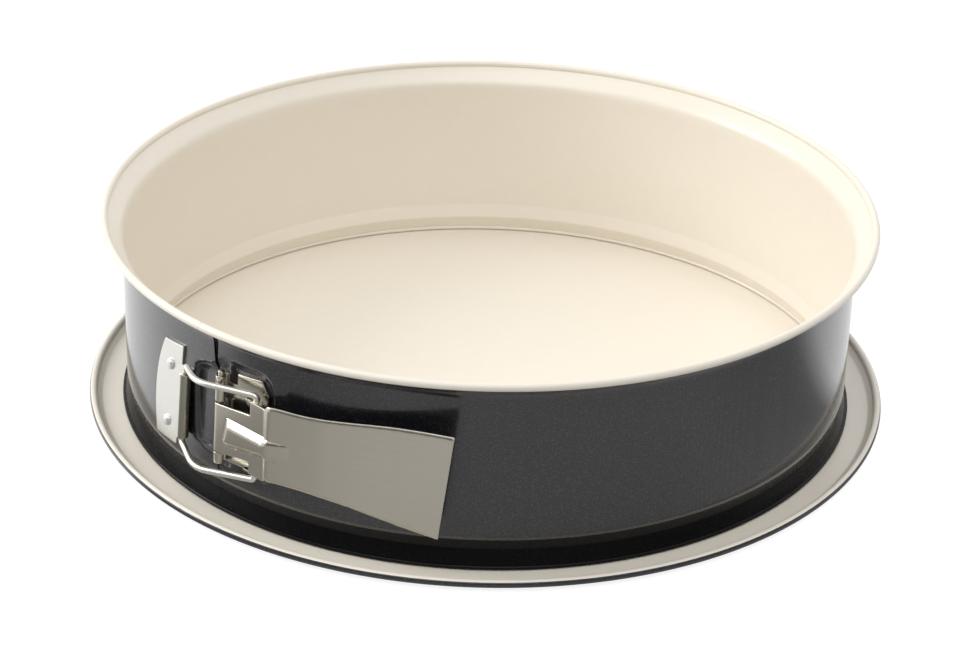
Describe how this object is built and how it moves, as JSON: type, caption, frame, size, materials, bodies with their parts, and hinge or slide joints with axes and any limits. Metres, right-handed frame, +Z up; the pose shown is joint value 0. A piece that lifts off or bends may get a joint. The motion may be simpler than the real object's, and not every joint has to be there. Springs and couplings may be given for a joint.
{
  "type": "springform cake tin",
  "caption": "Round cake tin with an open band that a wire toggle latch closes round a flat serving base with a raised lip.",
  "frame": {"origin": "centre of the base plate's underside, on the surface that the tin stands on", "axes": "+Z up out of the open top, the latch and the band's seam face -Y, +X to the right as seen from the latch side"},
  "size_m": [0.2886, 0.2886, 0.0726],
  "materials": {
    "base_enamel": "satin",
    "band_coating": "satin",
    "catch_steel": "satin",
    "rivet_aluminium": "satin",
    "latch_nickel": "satin",
    "wire_steel": "polished"
  },
  "bodies": {
    "base": {"base_plate": "base_enamel"},
    "ring": {"ring_band_right": "band_coating", "hinge_bracket": "latch_nickel", "bracket_rivets": "rivet_aluminium", "hinge_pin": "latch_nickel"},
    "ring_end": {"ring_band_left": "band_coating", "catch_plate": "catch_steel", "catch_rivets": "rivet_aluminium"},
    "lever": {"lever": "latch_nickel"},
    "bail": {"wire_bail": "wire_steel"}
  },
  "joints": [
    {"name": "ring_lift", "type": "slide", "parent": "base", "child": "ring", "axis": [0, 0, 1], "range_m": [0, 0.1]},
    {"name": "lever_swing", "type": "hinge", "parent": "ring", "child": "lever", "pos_m": [0.00335, -0.13236, 0.037], "axis": [-0.061, -0.0015, -0.9981], "range_deg": [0, 120]},
    {"name": "bail_swing", "type": "hinge", "parent": "lever", "child": "bail", "pos_m": [0.01985, -0.1316, 0.03599], "axis": [-0.061, -0.0015, -0.9981], "range_deg": [-120, 0]},
    {"name": "ring_open", "type": "hinge", "parent": "ring", "child": "ring_end", "pos_m": [0, 0.1382, 0], "axis": [0, 0, -1], "range_deg": [0, 1.45]}
  ],
  "couplings": [
    {"joint": "bail_swing", "follows": "lever_swing", "ratio": -1},
    {"joint": "ring_open", "follows": "lever_swing", "ratio": 0.012105}
  ]
}
